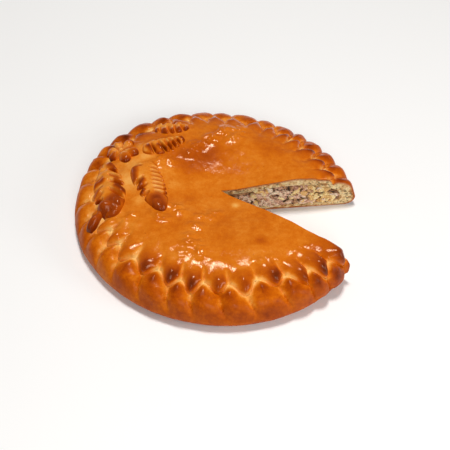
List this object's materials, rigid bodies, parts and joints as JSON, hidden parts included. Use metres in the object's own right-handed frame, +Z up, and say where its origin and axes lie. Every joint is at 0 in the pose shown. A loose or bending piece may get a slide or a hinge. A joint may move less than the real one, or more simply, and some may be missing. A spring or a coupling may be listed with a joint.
{
  "type": "chicken pie",
  "caption": "Round yeast-dough chicken pie with a pleated rim and dough leaves on its lid, with one slice cut out to show the filling.",
  "frame": {"origin": "middle of the pie's outline at the surface it stands on", "axes": "+Z up, -Y towards the front, which is the side with the pleats in full view; the missing slice lies towards +X and a little towards -Y"},
  "size_m": [0.2779, 0.277, 0.0456],
  "materials": {
    "golden_crust": "baked yeast dough, egg-washed, golden brown",
    "browned_dough": "baked dough, darker and glossy",
    "chicken_filling": "moist chopped chicken with onion and potato"
  },
  "bodies": {
    "root": {"base_crust": "golden_crust", "lid_crust": "golden_crust", "filling": "chicken_filling", "leaf_left": "browned_dough", "leaf_middle": "browned_dough", "leaf_back": "browned_dough", "leaf_edge": "browned_dough", "leaf_stem": "browned_dough", "flower": "browned_dough"}
  },
  "joints": []
}
